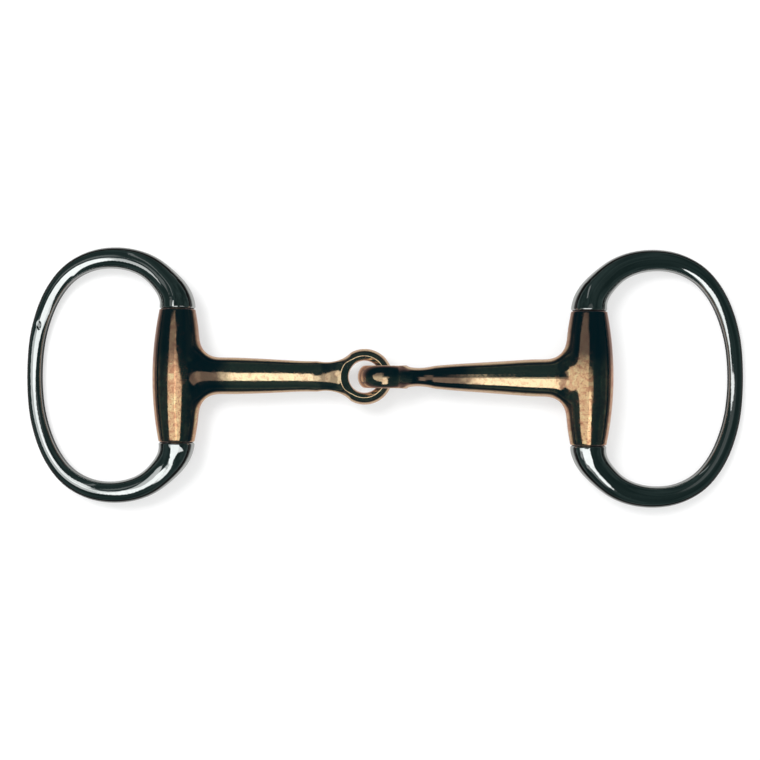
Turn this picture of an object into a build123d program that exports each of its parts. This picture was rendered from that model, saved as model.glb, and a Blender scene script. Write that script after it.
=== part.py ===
from build123d import *
import os
from math import cos, sin, pi, copysign, hypot, sqrt

# Jointed eggbutt snaffle bit, laid out flat: +X runs along the mouthpiece from the left cheek to
# the right cheek, +Y runs along the cheek barrels, +Z is up.  The origin is midway between the two
# barrel axes, on the mouthpiece axis.  All sizes are in millimetres.

# ---------------------------------------------------------------- barrels
mouth_width = 125.0        # nominal bit size, between the inner edges of the two barrel ends
barrel_end_r = 6.0         # radius of the barrel at its two end faces
barrel_mid_r = 8.2         # radius of the barrel half way along
barrel_half = 22.0         # half the barrel length
barrel_rim = 0.5           # rounding on the barrel end faces
barrel_blend = 6.5         # blend radius between cannon and barrel
barrel_blend_zone = (2.0, 12.0)            # where the blended edge lies, inwards of the barrel axis
barrel_x = mouth_width / 2 + barrel_end_r  # distance of a barrel axis from the origin

# ---------------------------------------------------------------- hinge pins and their bores
pin_r = 2.75               # hinge pin radius
pin_foot = 27.5            # distance of the blind end of the pin from the mouthpiece axis, to -Y
pin_chamfer = 0.4          # lead-in chamfer on the blind end of the pin
foot_gap = 0.3             # air left beyond the blind end of the pin
drill_reach = 60.0         # how far the pin and its seat are extruded to +Y, past the ring
bore_r = pin_r + 0.05      # barrel bore, with radial running clearance
bore_overrun = 5.0         # how far the bore cutter passes each barrel end

# The pin is trimmed to the ring together with a box that fills the barrel space
box_margin = 0.5           # room round the pin in the box
box_overlap = 1.2          # how far the box enters the +Y shoulder of the ring

# ---------------------------------------------------------------- link eyes
eye_outer = 9.3            # outer radius of each link eye
eye_inner = 5.25           # smallest radius of the eye hole
eye_lean = 0.55            # how far the crest of the eye sits inside the middle of its bar
eye_half = 3.95            # half thickness of the eye at its crest
eye_root_blend = 2.0       # blend between the eye and the neck of the cannon
eye_root_zone = (6.5, 10.0)  # where the blended edges lie, from the eye axis along the cannon
eye_root_side = 3.0        # and their least distance to either side, in the plane of the eye
left_eye_x = -5.8          # centre of the left eye (hole axis along Z)
right_eye_x = 1.0          # centre of the right eye (hole axis along Y), the fold axis of the bit

# Closed section of an eye: (radius from the eye axis, height along it)
eye_mid = (eye_inner + eye_outer) / 2
eye_wide = (eye_outer - eye_inner) / 2
eye_section = [
    (eye_mid + eye_wide * cos(t) - eye_lean * sin(t) ** 2, eye_half * sin(t))
    for t in (2 * pi * k / 12 for k in range(12))
]

# ---------------------------------------------------------------- cannons
# (distance from the eye centre, half size in the plane of the eye, half size across it)
# The first section is buried in the bar of the eye.
cannon_table = [
    (5.6, 7.28, 2.60), (7.0, 6.98, 3.00), (8.6, 6.30, 3.14), (10.4, 5.70, 3.20),
    (13.0, 5.26, 3.46), (16.5, 5.08, 3.84), (21.0, 5.12, 4.24), (26.0, 5.36, 4.62),
    (31.5, 5.66, 4.98), (37.5, 5.92, 5.38), (43.5, 6.12, 5.80), (49.5, 6.28, 6.18),
]
cannon_root = (6.38, 6.36)     # the same half sizes where the cannon runs into the barrel
cannon_root_steps = (8.0, 1.0)  # distances of the root sections from the barrel axis

# ---------------------------------------------------------------- cheek rings
shoulder_y = barrel_half + 0.20  # ring shoulder faces, with axial play at each barrel end
shoulder_rim = 0.9         # rounding on the ring shoulder faces
rim_cut_out = 3.0          # how far the rim cutter passes the side of the shoulder
rim_cut_over = 1.0         # how far the rim cutter passes the shoulder face
ring_flat = 0.87           # thickness over width of the ring bar away from its shoulders
shoulder_reach = 12.5      # distance from the barrel axis over which the bar takes its far shape
flatten_power = 1.2        # exponent of the change in thickness over that distance
far_power = 2.25           # superellipse power of the bar beyond that distance
ring_droop = 8.0           # degrees the rings hang below level, far bars lowest

# Half of the ring centreline from the +Y shoulder to the far side:
# (distance out from the barrel axis, height along the barrel axis, half width of the bar)
ring_table = [
    (0.00, shoulder_y, barrel_end_r),
    (0.16, 24.20, 5.86), (0.74, 26.20, 5.56), (1.80, 28.31, 5.18),
    (3.39, 30.42, 4.80), (5.75, 32.89, 4.46), (8.94, 35.52, 4.16),
    (12.86, 37.56, 3.91), (17.51, 38.85, 3.71), (22.68, 39.30, 3.54),
    (28.08, 38.74, 3.38), (33.28, 36.97, 3.23), (37.86, 34.09, 3.11),
    (41.62, 30.08, 3.00), (44.76, 24.95, 2.91), (47.17, 18.90, 2.81),
    (48.74, 12.74, 2.71), (49.53, 6.37, 2.61), (49.77, 0.00, 2.57),
]
# The whole centreline, round the far side to the -Y shoulder: (x, y, half width)
ring_rows = ring_table + [(out, -y, width) for out, y, width in reversed(ring_table[:-1])]
ring_points = [(barrel_x + out, y, width) for out, y, width in ring_rows]


def oval(half_x, half_y, power=2.0, count=16):
    """Points of a superellipse with the given half axes along local x and y."""
    points = []
    for k in range(count):
        c, s = cos(2 * pi * k / count), sin(2 * pi * k / count)
        points.append((
            half_x * copysign(abs(c) ** (2 / power), c),
            half_y * copysign(abs(s) ** (2 / power), s),
        ))
    return points


def ring_section_plane(k):
    """Plane square to the ring centreline at point k, local x in the plane of the ring."""
    x, y, _ = ring_points[k]
    if k in (0, len(ring_points) - 1):
        tangent_x, tangent_y = 0.0, 1.0
    else:
        # direction of the circle through three neighbouring points
        back_x, back_y = x - ring_points[k - 1][0], y - ring_points[k - 1][1]
        next_x, next_y = ring_points[k + 1][0] - x, ring_points[k + 1][1] - y
        back, ahead = hypot(back_x, back_y), hypot(next_x, next_y)
        sum_x = back_x / back * ahead + next_x / ahead * back
        sum_y = back_y / back * ahead + next_y / ahead * back
        length = hypot(sum_x, sum_y)
        tangent_x, tangent_y = sum_x / length, sum_y / length
    return Plane(
        origin=(x, y, 0), x_dir=(-tangent_y, tangent_x, 0), z_dir=(tangent_x, tangent_y, 0)
    )


def build_arm(side, eye_x, eye_is_flat):
    """Mouthpiece arm, side -1 for left and +1 for right.

    A flat eye lies in the XY plane, hole axis along Z; otherwise it stands in the XZ plane,
    hole axis along Y.
    """
    axis_x = side * barrel_x
    cannon_length = abs(axis_x - eye_x)
    root_sections = [(cannon_length - step, *cannon_root) for step in cannon_root_steps]
    with BuildPart() as arm:
        # cannon, lofted from the eye to the middle of the barrel
        for distance, in_plane, across in cannon_table + root_sections:
            half_sizes = (in_plane, across) if eye_is_flat else (across, in_plane)
            origin = (eye_x + side * distance, 0, 0)
            with BuildSketch(Plane(origin=origin, x_dir=(0, 1, 0), z_dir=(side, 0, 0))):
                with BuildLine():
                    Spline(*oval(*half_sizes), periodic=True)
                make_face()
        loft()

        # barrel, a long arc revolved about the barrel axis
        low_end = (axis_x + barrel_end_r, -barrel_half)
        high_end = (axis_x + barrel_end_r, barrel_half)
        with BuildSketch(Plane.XY):
            with BuildLine():
                Line((axis_x, -barrel_half), low_end)
                ThreePointArc(low_end, (axis_x + barrel_mid_r, 0), high_end)
                Line(high_end, (axis_x, barrel_half))
                Line((axis_x, barrel_half), (axis_x, -barrel_half))
            make_face()
        revolve(axis=Axis((axis_x, 0, 0), (0, 1, 0)))

        # blend where the cannon grows out of the barrel, then the barrel end faces
        near, far = barrel_blend_zone
        fillet([
            e for e in arm.edges()
            if e.geom_type == GeomType.BSPLINE and near < side * (axis_x - e.center().X) < far
        ], barrel_blend)
        fillet([
            e for e in arm.edges()
            if e.geom_type == GeomType.CIRCLE and abs(abs(e.center().Y) - barrel_half) < 0.01
        ], barrel_rim)

        # link eye
        with BuildSketch(Plane.XZ if eye_is_flat else Plane.XY):
            with BuildLine():
                Spline(*[(eye_x + side * r, h) for r, h in eye_section], periodic=True)
            make_face()
        revolve(axis=Axis((eye_x, 0, 0), (0, 0, 1) if eye_is_flat else (0, 1, 0)))

        # blend round the root of the eye
        near, far = eye_root_zone
        fillet([
            e for e in arm.edges()
            if e.geom_type == GeomType.BSPLINE
            and near < side * (e.center().X - eye_x) < far
            and abs(e.center().Y if eye_is_flat else e.center().Z) > eye_root_side
        ], eye_root_blend)

        # running bore for the hinge pin
        with BuildSketch(Plane.XZ.offset(barrel_half + bore_overrun)):
            with Locations((axis_x, 0)):
                Circle(bore_r)
        extrude(amount=-2 * (barrel_half + bore_overrun), mode=Mode.SUBTRACT)
    return arm.part


def build_ring_blank():
    """Right cheek ring, drooped, before the pin seat is bored."""
    with BuildPart() as blank:
        for k, (x, y, width) in enumerate(ring_points):
            # 1 at the barrel axis, falling to 0 at the shoulder reach
            share = max(0.0, 1 - (x - barrel_x) / shoulder_reach)
            depth = width * (ring_flat + (1 - ring_flat) * share ** flatten_power)
            power = 2.0 + (far_power - 2.0) * (1 - share)
            with BuildSketch(ring_section_plane(k)):
                with BuildLine():
                    Spline(*oval(width, depth, power), periodic=True)
                make_face()
        loft()

        # rounding of the two shoulder faces
        side_x = barrel_x + barrel_end_r
        face_x = side_x - shoulder_rim
        rim_mid = shoulder_rim * (1 - sqrt(0.5))
        for s in (1, -1):
            face_point = (face_x, s * shoulder_y)
            side_point = (side_x, s * (shoulder_y + shoulder_rim))
            with BuildSketch(Plane.XY):
                with BuildLine():
                    ThreePointArc(
                        face_point, (side_x - rim_mid, s * (shoulder_y + rim_mid)), side_point
                    )
                    Polyline(
                        side_point,
                        (side_x + rim_cut_out, s * (shoulder_y + shoulder_rim)),
                        (side_x + rim_cut_out, s * (shoulder_y - rim_cut_over)),
                        (face_x, s * (shoulder_y - rim_cut_over)),
                        face_point,
                    )
                make_face()
            revolve(axis=Axis((barrel_x, 0, 0), (0, 1, 0)), mode=Mode.SUBTRACT)
    return blank.part.rotate(Axis((barrel_x, 0, 0), (0, 1, 0)), ring_droop)


def build_ring(blank):
    """Right cheek ring; the pin seat runs through the +Y shoulder and is blind in the -Y one."""
    seat_foot = pin_foot + foot_gap
    with BuildPart() as ring:
        add(blank)
        with BuildSketch(Plane.XZ.offset(seat_foot)):
            with Locations((barrel_x, 0)):
                Circle(pin_r)
        extrude(amount=-(seat_foot + drill_reach), mode=Mode.SUBTRACT)
    return ring.part


def build_pin(blank):
    """Right hinge pin, its +Y end following the outside of the ring bend."""
    # what the pin may fill: the barrel space and the ring
    box_top = shoulder_y + box_overlap
    box_width = 2 * (pin_r + box_margin)
    with BuildPart() as room:
        add(blank)
        with Locations((barrel_x, (box_top - pin_foot) / 2, 0)):
            Box(box_width, pin_foot + box_top, box_width)

    with BuildPart() as pin:
        with BuildSketch(Plane.XZ.offset(pin_foot)):
            with Locations((barrel_x, 0)):
                Circle(pin_r)
        extrude(amount=-(pin_foot + drill_reach))
        add(room.part, mode=Mode.INTERSECT)
        chamfer([
            e for e in pin.edges()
            if e.geom_type == GeomType.CIRCLE and abs(e.center().Y + pin_foot) < 0.01
        ], pin_chamfer)
    return pin.part


def mirror_to_left(right_part):
    """Left-hand copy of a right-hand piece."""
    with BuildPart() as left:
        add(mirror(right_part, about=Plane.YZ, mode=Mode.PRIVATE))
    return left.part


# ---------------------------------------------------------------- build and export
ring_blank = build_ring_blank()
right_ring = build_ring(ring_blank)
right_pin = build_pin(ring_blank)
pieces = {
    "left_mouthpiece_arm": build_arm(-1, left_eye_x, eye_is_flat=True),
    "right_mouthpiece_arm": build_arm(1, right_eye_x, eye_is_flat=False),
    "left_cheek_ring": mirror_to_left(right_ring),
    "right_cheek_ring": right_ring,
    "left_hinge_pin": mirror_to_left(right_pin),
    "right_hinge_pin": right_pin,
}

os.makedirs("parts", exist_ok=True)
for name, piece in pieces.items():
    piece.label = name
    export_step(piece, f"parts/{name}.step")
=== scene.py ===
"""A jointed bit: two mouthpiece arms linked by eyes in the middle, each with a long
tapering cannon that ends in a barrel, a hinge pin and a cheek ring.

It lies on a pale floor and is seen from above. X runs along the mouthpiece, with the left
half at -X; the barrels run along Y; Z is up. Units are metres, except where millimetres
are stated.
"""
import bpy
import bmesh
import math
import numpy as np
from mathutils import Matrix, Vector
from mathutils.bvhtree import BVHTree


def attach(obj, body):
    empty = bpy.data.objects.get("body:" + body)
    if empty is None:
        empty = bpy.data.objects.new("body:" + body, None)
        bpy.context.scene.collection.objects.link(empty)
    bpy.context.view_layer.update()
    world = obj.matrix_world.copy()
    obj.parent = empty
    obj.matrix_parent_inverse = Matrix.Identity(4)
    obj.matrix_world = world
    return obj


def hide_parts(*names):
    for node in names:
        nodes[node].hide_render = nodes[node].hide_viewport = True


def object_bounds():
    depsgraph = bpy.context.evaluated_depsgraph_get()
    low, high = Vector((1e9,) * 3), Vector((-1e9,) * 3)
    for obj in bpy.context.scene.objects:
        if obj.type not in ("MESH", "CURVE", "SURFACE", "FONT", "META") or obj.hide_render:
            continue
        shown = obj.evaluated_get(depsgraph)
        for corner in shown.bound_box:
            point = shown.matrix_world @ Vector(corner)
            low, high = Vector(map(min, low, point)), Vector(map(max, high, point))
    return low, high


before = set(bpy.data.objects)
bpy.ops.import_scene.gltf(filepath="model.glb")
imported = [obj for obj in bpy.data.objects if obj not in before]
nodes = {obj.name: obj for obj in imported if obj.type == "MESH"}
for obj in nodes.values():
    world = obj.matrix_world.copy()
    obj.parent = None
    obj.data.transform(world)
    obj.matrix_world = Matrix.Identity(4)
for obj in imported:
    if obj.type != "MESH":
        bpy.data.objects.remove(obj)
box_before = [[float(v) for v in c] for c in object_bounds()]
scene = bpy.context.scene
scene.view_settings.view_transform = "Standard"
scene.view_settings.look = "None"
scene.view_settings.exposure = 0.0
scene.view_settings.gamma = 1.0

MM = 0.001


# ------------------------------------------------------------------ shader nodes
class ShaderTree:
    """Builds the node tree of a material, light or world, one node per call."""

    def __init__(self, owner):
        owner.use_nodes = True
        self.tree = owner.node_tree
        self.tree.nodes.clear()

    def node(self, kind, inputs=None, **props):
        """A new node; its inputs take a value, a socket or a node's first output."""
        node = self.tree.nodes.new("ShaderNode" + kind)
        for key, value in props.items():
            setattr(node, key, value)
        for key, value in (inputs or {}).items():
            if isinstance(value, bpy.types.Node):
                value = value.outputs[0]
            if isinstance(value, bpy.types.NodeSocket):
                self.tree.links.new(value, node.inputs[key])
            else:
                node.inputs[key].default_value = value
        return node

    def output(self, kind, surface):
        self.node("Output" + kind, {"Surface": surface})

    def math(self, operation, *values):
        return self.node("Math", dict(enumerate(values)), operation=operation).outputs[0]

    def mul(self, value, by):
        return self.math("MULTIPLY", value, by)

    def size(self, value):
        return self.math("ABSOLUTE", value)

    def total(self, terms):
        """The sum of (value, weight) terms."""
        result = None
        for value, weight in terms:
            term = self.mul(value, by=weight)
            result = term if result is None else self.math("ADD", result, term)
        return result

    def remap(self, value, over, to=(0, 1)):
        """Eases from to[0] to to[1] as the value crosses `over`."""
        limits = {"Value": value, "From Min": over[0], "From Max": over[1],
                  "To Min": to[0], "To Max": to[1]}
        return self.node("MapRange", limits, interpolation_type="SMOOTHSTEP",
                         clamp=True).outputs[0]

    def noise(self, vector, scale, detail=3.0, rough=0.5, distort=0.0):
        settings = {"Vector": vector, "Scale": scale, "Detail": detail,
                    "Roughness": rough, "Distortion": distort}
        return self.node("TexNoise", settings).outputs["Fac"]

    def mapped(self, vector, scale, turn=(0, 0, 0)):
        return self.node("Mapping", {"Vector": vector, "Scale": scale,
                                     "Rotation": turn}).outputs[0]

    def axes(self, vector):
        return self.node("SeparateXYZ", {0: vector}).outputs

    def mix(self, fac, first, second):
        return self.node("Mix", {0: fac, 6: first, 7: second}, data_type="RGBA",
                         blend_type="MIX").outputs[2]

    def coords(self, kind):
        return self.node("TexCoord").outputs[kind]

    def crevice_shade(self):
        """Painted crevice shade: 1 on open metal, falling in tight joints."""
        shade = self.node("AmbientOcclusion", {"Distance": 0.0011}, samples=6)
        return self.remap(shade.outputs["AO"], over=(0.35, 0.80), to=(0.12, 1.0))

    def metal(self, colour, rough, relief, **more):
        """A metal surface; relief is a list of (height, millimetres) terms."""
        bump = self.node("Bump", {"Strength": 1.0, "Distance": MM,
                                  "Height": self.total(relief)})
        metal = self.node("BsdfPrincipled", {"Metallic": 1.0, "Base Color": colour,
                                             "Roughness": rough, "Normal": bump, **more})
        self.output("Material", metal)


# ------------------------------------------------------------------ arms
# All in millimetres. x is measured from the middle outwards along the arm, radius from the
# axis of the eye, and height along that axis. Pairs are the limits of a fade.
LEFT_EYE_X = -5.8
RIGHT_EYE_X = 1.0
VOXEL = 0.28

BARREL_X = 68.5                    # axis of the barrel
BARREL_FROM = 50                   # the barrel's zone starts here
BORE_ZONE = 3.6                    # radius round the barrel axis that is left alone
BARREL_END_Y = (20.9, 21.4)        # fade of the smoothing towards the ends
END_FROM = (55, 21.7)              # x and y beyond which the end faces are moved
END_SHIFT = 0.13                   # outwards along Y

ROOT_FACING = (0.55, 0.92)         # cosine from the arm's direction, where the root begins
RIDGE, RIDGE_ROOT = 6.9, 0.95      # radius of the eye's ridge, and its growth at the root
ROOF, ROOF_ROOT = 3.80, 0.33       # height at the ridge, and its drop at the root
OUTER_SLOPE = 0.364                # fall of the roof outside the ridge, none at the root
INNER_SLOPE, INNER_ROOT = 0.577, 0.06  # fall inside the ridge, and its easing at the root
EYE_INNER, EYE_OUTER = 4.8, 9.6    # radii between which the roof is cut

WORN_RADIUS, WORN_X = (9.8, 10.6), (4.0, 8.0)  # worn zone of the round eye
ROOT_START = (0.05, 0.9)           # root blend: beyond the ridge
ROOT_END = (12.5, 17.0)            # radius where it fades out
ROOT_X = (4.5, 6.5)                # x from the eye where it fades in
TEE_IN, TEE_OUT = (49, 56), (66.0, 68.4)  # x fades of the T of cannon and barrel
TEE_Y = (11.0, 17.5)

# Smoothing: strength of a pass, the slightly larger push back, and the passes per zone
STRENGTH, PUSH_BACK = 0.5, -1.03
FACET_PASSES, WORN_PASSES, ROOT_PASSES, TEE_PASSES = 3, 48, 420, 140


def ramp(x, low, high):
    part = np.clip((x - low) / (high - low), 0, 1)
    return part * part * (3 - 2 * part)


def relax(points, edges, weight, passes=1):
    """Moves each point the weighted way to the mean of its neighbours."""
    count = len(points)
    first, second = edges[:, 0], edges[:, 1]
    degree = np.bincount(edges.ravel(), minlength=count).astype(float)
    for _ in range(passes):
        total = np.zeros_like(points)
        for k in range(3):
            total[:, k] = (np.bincount(first, weights=points[second, k], minlength=count)
                           + np.bincount(second, weights=points[first, k], minlength=count))
        points = points + (total / degree[:, None] - points) * weight[:, None]
    return points


def even_mesh(source, name):
    """The piece in millimetres, and an even voxel remesh of it."""
    exact = source.data.copy()
    exact.transform(source.matrix_world)
    exact.transform(Matrix.Scale(1000.0, 4))
    bm = bmesh.new()
    bm.from_mesh(exact)
    bmesh.ops.remove_doubles(bm, verts=bm.verts, dist=1e-4)
    bm.to_mesh(exact)
    bm.free()
    holder = bpy.data.objects.new(name + "_tmp", exact)
    scene.collection.objects.link(holder)
    remesh = holder.modifiers.new("even", "REMESH")
    remesh.mode = "VOXEL"
    remesh.voxel_size = VOXEL
    remesh.adaptivity = 0.0
    graph = bpy.context.evaluated_depsgraph_get()
    even = bpy.data.meshes.new_from_object(holder.evaluated_get(graph))
    return exact, even, holder


def flow_together(points, edges, side, eye_x, eye_axis, ridged):
    """Smooths the facets, shapes the eye and blends its root and the T like a casting."""
    # zones are taken from the exact surface, before any smoothing
    x, y, z = points[:, 0] * side, points[:, 1], points[:, 2]
    # the barrel's ends and bore keep their edges
    crisp = ramp(np.abs(y), *BARREL_END_Y) * (x > BARREL_FROM)
    bore = ((x - BARREL_X) ** 2 + z ** 2 < BORE_ZONE ** 2) & (x > BARREL_FROM)
    keep = np.where(bore, 0.0, 1.0 - crisp)

    # take the facets out without shrinking
    weight = STRENGTH * keep
    for _ in range(FACET_PASSES):
        points = relax(points, edges, weight)
        points = relax(points, edges, PUSH_BACK * weight)

    # the eye's two faces meet on a ridge, pushed outwards at the root
    eye_out = eye_x * side
    out = x - eye_out
    across, height = (y, z) if eye_axis == "Z" else (z, y)
    radius = np.sqrt(out ** 2 + across ** 2)
    root = ramp(out / np.maximum(radius, 1e-6), *ROOT_FACING)
    ridge = RIDGE + RIDGE_ROOT * root
    if ridged:
        roof = (ROOF - ROOF_ROOT * root
                - (1 - root) * OUTER_SLOPE * np.maximum(radius - ridge, 0)
                - (INNER_SLOPE - INNER_ROOT * root) * np.maximum(ridge - radius, 0))
        cut = ((radius < EYE_OUTER) & (np.abs(height) > roof) & (radius > EYE_INNER)
               & (x < eye_out + EYE_OUTER))
        points[cut, 2 if eye_axis == "Z" else 1] = (np.sign(height) * roof)[cut]
    else:                                   # worn round
        weight = (1 - ramp(radius, *WORN_RADIUS)) * (1 - ramp(out, *WORN_X))
        points = relax(points, edges, STRENGTH * weight, WORN_PASSES)

    # root of the eye
    weight = (ramp(radius, ridge + ROOT_START[0], ridge + ROOT_START[1])
              * (1 - ramp(radius, *ROOT_END)) * ramp(out, *ROOT_X))
    points = relax(points, edges, STRENGTH * weight, ROOT_PASSES)

    # the T of cannon and barrel
    along = ramp(x, *TEE_IN) * (1 - ramp(x, *TEE_OUT))
    weight = along * (1 - ramp(np.abs(y), *TEE_Y)) * keep
    points = relax(points, edges, STRENGTH * weight, TEE_PASSES)

    ends = (x > END_FROM[0]) & (np.abs(y) > END_FROM[1])
    points[ends, 1] += END_SHIFT * np.sign(y[ends])
    return points


def relaxed_arm(body, side, eye_x, eye_axis, ridged):
    """Replaces an arm by an evenly meshed one; side is the sign of X it points to."""
    name = body + "_arm_finish"
    exact, mesh, holder = even_mesh(nodes[body + "_arm"], name)
    points = np.empty(len(mesh.vertices) * 3)
    mesh.vertices.foreach_get("co", points)
    points = points.reshape(-1, 3)
    edges = np.empty(len(mesh.edges) * 2, dtype=np.int64)
    mesh.edges.foreach_get("vertices", edges)
    edges = edges.reshape(-1, 2)

    # back on the exact surface
    surface = BVHTree.FromPolygons([v.co for v in exact.vertices],
                                   [p.vertices for p in exact.polygons])
    for i in range(len(points)):
        nearest = surface.find_nearest(Vector(points[i]))[0]
        if nearest is not None:
            points[i] = nearest

    points = flow_together(points, edges, side, eye_x, eye_axis, ridged) * MM
    mesh.vertices.foreach_set("co", points.ravel())
    mesh.update()
    for polygon in mesh.polygons:
        polygon.use_smooth = True
    mesh.materials.clear()
    arm = bpy.data.objects.new(name, mesh)
    scene.collection.objects.link(arm)
    bpy.data.objects.remove(holder)
    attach(arm, body)
    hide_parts(body + "_arm")
    return arm


left_arm = relaxed_arm("left_mouthpiece", side=-1, eye_x=LEFT_EYE_X, eye_axis="Z", ridged=True)
right_arm = relaxed_arm("right_mouthpiece", side=1, eye_x=RIGHT_EYE_X, eye_axis="Y",
                        ridged=False)

# ------------------------------------------------------------------ materials
# Brown bands along x, painted shade where the highlight breaks off and partly tarnish,
# in millimetres: start, full from, full to, end; then the strength,
# and the share of it that reaches the -Y half.
LEFT_DARK_BANDS = [
    (-20.6, -19.4, -15.6, -14.4, 0.60, 1.0),
    (-65.0, -62.5, -55.0, -49.5, 0.94, 1.0),
]
RIGHT_DARK_BANDS = [
    (-12.0, -8.0, 10.0, 14.0, 0.90, 0.30),
    (8.0, 10.0, 25.0, 34.5, 0.95, 1.0),
    (57.2, 58.6, 60.2, 61.6, 0.60, 1.0),
]
DENT = (-0.1160, 0.0166, -0.0038)  # in the left ring, world place
DENT_STRETCH = 1.6                 # narrows the dent along the ring's own x

COPPER, RED_COPPER = (0.84, 0.55, 0.29, 1), (0.79, 0.45, 0.25, 1)
POLISHED = (0.93, 0.77, 0.49, 1)
RED_TARNISH, YELLOW_TARNISH = (0.62, 0.29, 0.155, 1), (0.93, 0.74, 0.40, 1)
# the brown below is painted shade on the barrels and in the bands, and partly tarnish
SPECKLE, BROWN_SHADE_AND_TARNISH = (0.42, 0.19, 0.10, 1), (0.095, 0.055, 0.036, 1)
# painted sheen at grazing angles, and a dimmer copy of the copper seen only in reflections
GRAZING, MIRRORED = (1.0, 0.73, 0.60, 1), (0.46, 0.36, 0.31, 1)
# painted shade for crevices
COPPER_SHADED = (0.030, 0.024, 0.020, 1)
# painted glow: faint blue-green on facing copper, warm on the turned-away edges
GLOW_FACING, GLOW_AWAY = (0.0, 0.0075, 0.0115, 1), (0.125, 0.072, 0.060, 1)
STEEL, GREY_STEEL = (0.86, 0.89, 0.88, 1), (0.76, 0.80, 0.79, 1)
# the second colour is painted shade in the dent
STEEL_SPECKLE, DENT_SHADE = (0.55, 0.60, 0.59, 1), (0.10, 0.105, 0.103, 1)
# painted shade for crevices
STEEL_SHADED = (0.024, 0.024, 0.022, 1)


def brown_shade_and_tarnish(tree, place, pos, dark_bands, barrel_top_shade):
    """Strength of the brown darkening: painted shade on the barrels' +Y half, and the bands,
    painted shade where the highlight breaks off and partly tarnish.
    """
    # edges wander by 3 mm either way
    ragged = tree.math("MULTIPLY_ADD", tree.noise(place, scale=260, detail=3, rough=0.6),
                       0.006, -0.003)
    # painted shade: the barrels' +Y half is darkened
    upper = tree.mul(tree.remap(tree.size(pos["X"]), over=(0.0585, 0.0640)),
                     by=tree.remap(tree.math("ADD", pos["Y"], ragged), over=(-0.001, 0.0095)))
    brown = tree.mul(upper, by=barrel_top_shade)
    # the bands show on faces turned up or down
    normal = tree.axes(tree.coords("Normal"))
    top = tree.remap(tree.size(normal["Z"]), over=(0.35, 0.65))
    for start, full_from, full_to, end, strength, below in dark_bands:
        level = tree.remap(pos["Y"], over=(-0.0008, 0.0010), to=(strength * below, strength))
        along = tree.math("ADD", pos["X"], ragged)
        band = tree.mul(tree.remap(along, over=(start * MM, full_from * MM)),
                        by=tree.remap(along, over=(full_to * MM, end * MM), to=(1, 0)))
        brown = tree.math("MAXIMUM", brown, tree.mul(tree.mul(band, by=top), by=level))
    return brown


def copper_material(name, dark_bands, barrel_top_shade, eye_glow):
    """Tarnished copper, with painted shade, a painted sheen at grazing angles and a painted
    glow; eye_glow widens the warm edge glow round the middle.
    """
    material = bpy.data.materials.new(name)
    tree = ShaderTree(material)
    place = tree.coords("Object")
    cloud = tree.noise(place, scale=110, detail=3, rough=0.5, distort=0.6)
    patch = tree.noise(place, scale=560, detail=3, rough=0.6, distort=0.4)
    fine = tree.noise(place, scale=1500, detail=2, rough=0.6, distort=0.2)
    base = tree.mix(tree.remap(cloud, over=(0.40, 0.62)), COPPER, RED_COPPER)
    pos = tree.axes(place)

    # the long tapers are polished paler and calmer than the barrels
    calm = tree.remap(tree.size(pos["X"]), over=(0.053, 0.062), to=(1.0, 0.0))
    busy = tree.math("SUBTRACT", 1.0, tree.mul(calm, by=0.62))
    base = tree.mix(tree.mul(calm, by=0.58), base, POLISHED)
    for source, over, to, colour in (
            (patch, (0.50, 0.64), (0, 0.80), RED_TARNISH),
            (patch, (0.34, 0.48), (0.75, 0), YELLOW_TARNISH),
            (fine, (0.56, 0.67), (0, 0.65), SPECKLE)):
        base = tree.mix(tree.mul(busy, by=tree.remap(source, over, to)), base, colour)
    # painted shade on the barrels' +Y half and where the highlight breaks off, partly tarnish
    base = tree.mix(brown_shade_and_tarnish(tree, place, pos, dark_bands, barrel_top_shade), base, BROWN_SHADE_AND_TARNISH)

    # painted sheen: brighter at grazing angles; and a painted dimmer copy where the metal
    # mirrors itself
    edge = tree.node("LayerWeight").outputs["Facing"]
    base = tree.mix(tree.remap(edge, over=(0.72, 0.95), to=(0, 0.85)), base, GRAZING)
    mirrored = tree.node("LightPath").outputs["Is Glossy Ray"]
    base = tree.mix(tree.mul(mirrored, by=0.65), base, MIRRORED)
    # painted shade: darker in tight joints and crevices
    unshaded = tree.crevice_shade()
    base = tree.mix(unshaded, COPPER_SHADED, base)
    rough = tree.math("ADD", tree.remap(cloud, over=(0.3, 0.75), to=(0.06, 0.12)),
                      tree.remap(patch, over=(0.45, 0.75), to=(0.0, 0.14)))

    # undulation of the hand polish, pits and hairlines
    wave = tree.noise(place, scale=120, detail=2, rough=0.5)
    pits = tree.remap(tree.noise(place, scale=1500, detail=2, rough=0.5),
                      over=(0.28, 0.40), to=(1, 0))
    hair = tree.noise(tree.mapped(place, scale=(1.0, 0.12, 1.0), turn=(0, 0, 0.5)),
                      scale=2600, detail=1, rough=0.5)
    relief = [(wave, 0.040), (patch, 0.0050), (pits, -0.0015), (hair, 0.0006)]

    # painted glow: warm light from the floor painted as emission along the turned-away edges,
    # and a faint blue-green glow on the facing metal
    eye = tree.remap(tree.size(pos["X"]), over=(0.0085, 0.0105), to=(eye_glow, 0.0))
    away = tree.remap(tree.math("ADD", edge, eye), over=(0.40, 0.64))
    away = tree.mul(away, by=unshaded)
    glow = tree.mix(tree.mul(away, by=1.0), GLOW_FACING, GLOW_AWAY)
    tree.metal(base, rough, relief, **{"Emission Color": glow, "Emission Strength": 1.0})
    return material


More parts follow.
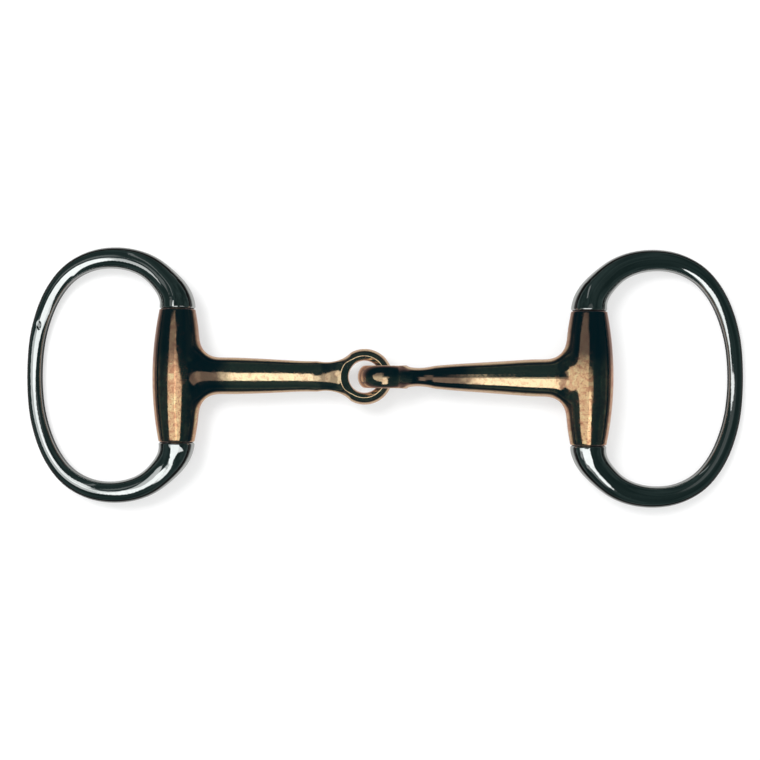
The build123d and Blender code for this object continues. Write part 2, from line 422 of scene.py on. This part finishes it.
def steel_material(name, roughness, dent=None):
    """Polished steel, with an optional dent at a place in the piece's own frame; the dent is
    painted darker as shade.
    """
    material = bpy.data.materials.new(name)
    tree = ShaderTree(material)
    place = tree.coords("Object")
    cloud = tree.noise(place, scale=75, detail=4, rough=0.6, distort=0.4)
    fine = tree.noise(place, scale=900, detail=3, rough=0.55)
    base = tree.mix(tree.remap(cloud, over=(0.35, 0.7)), STEEL, GREY_STEEL)
    base = tree.mix(tree.remap(fine, over=(0.55, 0.75), to=(0, 0.25)), base, STEEL_SPECKLE)
    # painted shade: darker in tight joints and crevices
    base = tree.mix(tree.crevice_shade(), STEEL_SHADED, base)
    rough = tree.math(
        "ADD", tree.remap(cloud, over=(0.3, 0.75), to=(roughness * 0.7, roughness * 1.5)),
        tree.remap(fine, over=(0.5, 0.8), to=(0.0, 0.05)))
    wave = tree.noise(place, scale=70, detail=2, rough=0.5)
    streak = tree.noise(tree.mapped(place, scale=(1.0, 1.0, 5.0)), scale=700, detail=2,
                        rough=0.5)
    relief = [(wave, 0.030), (streak, 0.0008)]
    if dent is not None:
        stretched = tree.mapped(place, scale=(DENT_STRETCH, 1.0, 1.0))
        centre = (dent[0] * DENT_STRETCH, dent[1], dent[2])
        away = tree.node("VectorMath", {0: stretched, 1: centre}, operation="DISTANCE")
        pit = tree.remap(away.outputs["Value"], over=(0.0006, 0.0019), to=(1, 0))
        relief.append((pit, -0.18))
        # painted shade in the dent
        base = tree.mix(tree.mul(pit, by=0.70), base, DENT_SHADE)
    tree.metal(base, rough, relief)
    return material


copper = copper_material("copper_alloy", LEFT_DARK_BANDS, barrel_top_shade=0.84, eye_glow=0.0)
copper_right = copper_material("copper_alloy_right", RIGHT_DARK_BANDS, barrel_top_shade=0.95,
                               eye_glow=0.15)
left_ring = nodes["left_cheek_ring"]
dent_at = left_ring.matrix_world.inverted() @ Vector(DENT)
steel = steel_material("polished_steel", roughness=0.035)
steel_left = steel_material("polished_steel_left", roughness=0.035, dent=dent_at)
pin_steel = steel_material("pin_steel", roughness=0.16)
for name, piece in nodes.items():
    piece.data.materials.clear()
    piece.data.materials.append(
        copper if "arm" in name else steel if "ring" in name else pin_steel)
left_ring.data.materials.clear()
left_ring.data.materials.append(steel_left)
left_arm.data.materials.append(copper)
right_arm.data.materials.append(copper_right)

# ------------------------------------------------------------------ floor
FLOOR_HALF = 8.0
FLOOR_GAP = 0.00005                # below the lowest point
mesh = bpy.data.meshes.new("floor")
mesh.from_pydata([(x * FLOOR_HALF, y * FLOOR_HALF, 0)
                  for x, y in ((-1, -1), (1, -1), (1, 1), (-1, 1))], [], [(0, 1, 2, 3)])
floor = bpy.data.objects.new("floor", mesh)
floor.location = (0, 0, box_before[0][2] - FLOOR_GAP)
scene.collection.objects.link(floor)


def floor_material():
    """Grey paper with a pale glow for the camera; in the polish, a painted reflection of the
    floor that fades.
    """
    material = bpy.data.materials.new("floor")
    tree = ShaderTree(material)
    path = tree.node("LightPath").outputs
    # the mirrored glow, a painted reflection of the floor: weak at contact as a painted contact
    # shadow, gone a few centimetres off and outside the middle
    near = tree.remap(path["Ray Length"], over=(0.0, 0.004), to=(0.30, 1.0))
    far = tree.remap(path["Ray Length"], over=(0.016, 0.036), to=(0.46, 0.035))
    position = tree.node("NewGeometry").outputs["Position"]
    pos = tree.axes(position)
    middle = tree.mul(tree.remap(tree.size(pos["X"]), over=(0.092, 0.112), to=(1.0, 0.12)),
                      by=tree.remap(tree.size(pos["Y"]), over=(0.042, 0.062), to=(1.0, 0.20)))
    glow = tree.node("Emission", {"Color": (1.0, 0.985, 0.97, 1),
                                  "Strength": tree.mul(middle, by=tree.mul(near, by=far))})
    # what the camera sees grows paler far out
    paper = tree.node("BsdfDiffuse", {"Color": (0.44, 0.44, 0.44, 1)})
    reach = tree.node("VectorMath", {0: position}, operation="LENGTH").outputs["Value"]
    paleness = tree.remap(reach, over=(0.35, 1.5), to=(0.565, 1.0))
    pale = tree.node("Emission", {"Color": (1, 1, 1, 1),
                                  "Strength": tree.mul(path["Is Camera Ray"], by=paleness)})
    seen = tree.node("AddShader", {0: paper, 1: pale})
    tree.output("Material", tree.node("MixShader", {0: path["Is Glossy Ray"], 1: seen, 2: glow}))
    return material


mesh.materials.append(floor_material())


# ------------------------------------------------------------------ room
def build_world():
    """White to the camera; to all else dark and murky with a brighter horizon."""
    world = bpy.data.worlds.new("world")
    scene.world = world
    tree = ShaderTree(world)
    way = tree.coords("Generated")
    horizon = tree.remap(tree.axes(way)["Z"], over=(0.0, 0.25), to=(1.0, 0.0))
    murk = tree.noise(way, scale=2.2, detail=3, rough=0.6, distort=0.5)
    dark = tree.mix(tree.remap(murk, over=(0.35, 0.70)),
                    (0.009, 0.018, 0.0175, 1), (0.025, 0.040, 0.039, 1))
    haze = tree.mul(horizon, by=tree.remap(murk, over=(0.30, 0.65), to=(0.35, 1.0)))
    dark = tree.mix(haze, dark, (0.065, 0.080, 0.079, 1))
    camera_ray = tree.node("LightPath").outputs["Is Camera Ray"]
    tree.output("World", tree.node("MixShader", {
        0: camera_ray, 1: tree.node("Background", {"Color": dark}),
        2: tree.node("Background", {"Color": (1, 1, 1, 1)})}))


build_world()

# ------------------------------------------------------------------ lights
PANEL_HEIGHT = 3.0
PANEL_SIZE = 11.0

# Each panel lights only its receivers: name, x of its centre, lit shapes, receivers.
# A shape is a convex outline, its level and the softness of its edge; a corner is
# (degrees from the zenith towards +X, degrees towards +Y).
SOFTBOXES = [
    ("softbox_left_ring", -0.09, [
        ([(-28, 1), (-27, 10), (-22, 21), (-19, 22), (-15, 3)], 0.9, 0.05),
        ([(-29, 3), (-10, 6), (2, 1), (24, -10), (22, -27), (0, -36), (-12, -35), (-27, -24),
          (-31, -14)], 1.08, 0.05),
        ([(-14, -33), (0, -33), (9, -52), (5, -50)], 1.0, 0.06),
        ([(18, -7), (26, -12), (62, -27), (60, -30), (18, -28)], 0.85, 0.06),
        ([(-26, 5), (-40, 4), (-50, 8), (-52, 3), (-43, -13), (-28, -18)], 0.55, 0.05),
        ([(-21, 26), (-17, 26), (-15, 62), (-18, 62)], 0.12, 0.06),
        ([(-28, 10), (-28, 22), (-44, 18), (-44, 8)], 0.10, 0.08),
        ([(-11, 12), (5, 12), (22, 20), (20, 5), (0, 1)], 0.05, 0.08),
    ], [nodes["left_cheek_ring"], nodes["left_hinge_pin"]]),
    ("softbox_right_ring", 0.09, [
        ([(-46, -1), (-40, 7), (-18, 7), (-5, 3), (5, 0), (-5, -2), (-20, -2), (-46, -6)],
         0.95, 0.05),
        ([(-42, -3), (-26, -5), (-21, -12), (-5, -16), (5, -21), (22, -24), (5, -36),
          (-10, -42), (-30, -44), (-40, -30)], 1.08, 0.06),
        ([(-20, -14), (8, -9), (4, -20), (-5, -24)], 0.9, 0.04),
        ([(-34, -12), (4, -12), (15, -26), (10, -36), (2, -42), (-14, -44), (-30, -30)],
         1.08, 0.04),
        ([(-58, 2), (-38, 5), (-38, -24), (-55, -20)], 0.85, 0.08),
        ([(-62, 0), (-40, 0), (-40, -40), (-60, -35)], 0.25, 0.25),
        ([(-40, -36), (-10, -40), (-5, -51), (-35, -53)], 0.22, 0.10),
        ([(-25, 6), (0, 20), (12, 20), (20, 14), (23, 2), (0, 0)], 0.05, 0.08),
        ([(-27, 33), (-19, 33), (-24, 52), (-33, 66), (-38, 66), (-31, 48)], 0.16, 0.06),
    ], [nodes["right_cheek_ring"], nodes["right_hinge_pin"]]),
    ("softbox_left_arm", -0.04, [
        ([(-2, 16), (6, 16), (9, 0), (9, -26), (-1, -28), (-3, 0)], 1.34, 0.06),
        ([(-36, -3), (-32, 20), (-8, 24), (10, 12), (20, 4), (31, -6), (27, -25), (-10, -29),
          (-38, -24)], 0.86, 0.06),
    ], [left_arm]),
    ("softbox_right_arm", 0.04, [
        ([(-9, -5), (10, -5), (10, -58), (3, -63), (-10, -64)], 1.28, 0.06),
        ([(-60, -1), (-54, 8), (-32, 28), (-11, 28), (-9, -3), (-9, -48), (-30, -46),
          (-44, -22), (-56, -12)], 0.80, 0.08),
        ([(-11, 28), (-5, 28), (-5, 6), (-9, 6)], 0.50, 0.06),
        ([(-10, 4), (12, 3), (19, -4), (10, -13), (-4, -13), (-10, -6)], 0.42, 0.08),
    ], [right_arm]),
]


def area(name, place, target, size, radiance, glossy=True, diffuse=True):
    """A square area light, hidden from the camera."""
    light = bpy.data.lights.new(name, "AREA")
    light.shape = "RECTANGLE"
    light.size = light.size_y = size
    light.energy = radiance * math.pi * size * size
    lamp = bpy.data.objects.new(name, light)
    lamp.location = place
    aim = Vector(target) - Vector(place)
    lamp.rotation_euler = aim.to_track_quat("-Z", "Y").to_euler()
    lamp.visible_camera = False
    lamp.visible_glossy = glossy
    lamp.visible_diffuse = diffuse
    scene.collection.objects.link(lamp)
    return lamp


def on_plane(corner):
    """A corner in degrees, taken to the plane one unit up."""
    degrees = math.hypot(*corner)
    angle = math.radians(degrees)
    if angle < 1e-6:
        return (0.0, 0.0)
    stretch = math.tan(angle) / degrees
    return (corner[0] * stretch, corner[1] * stretch)


def softbox(name, centre_x, shapes, receivers):
    """An overhead panel whose lit part is the union of the shapes."""
    lamp = area(name, (centre_x, 0, PANEL_HEIGHT), (centre_x, 0, 0), PANEL_SIZE,
                radiance=1.0, diffuse=False)
    tree = ShaderTree(lamp.data)
    pos = tree.axes(tree.node("NewGeometry").outputs["Position"])
    panel_x, panel_y = (
        tree.math("DIVIDE", tree.math("SUBTRACT", pos[axis], centre), PANEL_HEIGHT)
        for axis, centre in (("X", centre_x), ("Y", 0)))
    total = None
    for corners, level, soft in shapes:
        points = [on_plane(corner) for corner in corners]
        sides = list(zip(points, points[1:] + points[:1]))
        if sum(x0 * y1 - x1 * y0 for (x0, y0), (x1, y1) in sides) < 0:
            points = points[::-1]           # always anticlockwise
            sides = list(zip(points, points[1:] + points[:1]))
        inside = None
        for (x0, y0), (x1, y1) in sides:
            length = math.hypot(x1 - x0, y1 - y0)
            nx, ny = -(y1 - y0) / length, (x1 - x0) / length
            depth = tree.math("MULTIPLY_ADD", panel_x, nx, tree.math(
                "MULTIPLY_ADD", panel_y, ny, -(x0 * nx + y0 * ny)))
            within = tree.remap(depth, over=(-soft / 2, soft / 2))
            inside = within if inside is None else tree.mul(inside, by=within)
        lit = tree.mul(inside, by=level)
        total = lit if total is None else tree.math("MAXIMUM", total, lit)
    tree.output("Light", tree.node("Emission", {"Strength": total}))
    linked = bpy.data.collections.new(name + "_lights")
    for receiver in receivers:
        linked.objects.link(receiver)
    lamp.light_linking.receiver_collection = linked


for entry in SOFTBOXES:
    softbox(*entry)

# soft light for the floor, and a gentler directed one from -X, +Y
area("fill", (0, 0, 1.5), (0, 0, 0), size=3.0, radiance=1.35, glossy=False)
area("key", (-0.38, 0.38, 1.0), (0, 0, 0), size=0.40, radiance=16.0, glossy=False)

# ------------------------------------------------------------------ camera
DISTANCE = 0.61868                 # from the origin
VIEW_WIDTH = 0.25274612            # width in view at the origin
SENSOR = 36.0                      # millimetres
TURNS = (("Z", 0.00703), ("X", 0.00309), ("Y", 0.03431))  # radians, first to last
cam_data = bpy.data.cameras.new("camera")
cam = bpy.data.objects.new("camera", cam_data)
scene.collection.objects.link(cam)
pose = Matrix.Translation((0, 0, DISTANCE))
for axis, angle in TURNS:
    pose = Matrix.Rotation(angle, 4, axis) @ pose
cam.matrix_world = pose
cam_data.sensor_fit = "HORIZONTAL"
cam_data.sensor_width = SENSOR
cam_data.lens = SENSOR * DISTANCE / VIEW_WIDTH
cam_data.shift_x = -0.002768421
cam_data.shift_y = -0.004127632
cam_data.clip_start = 0.01
cam_data.clip_end = 20.0
scene.camera = cam
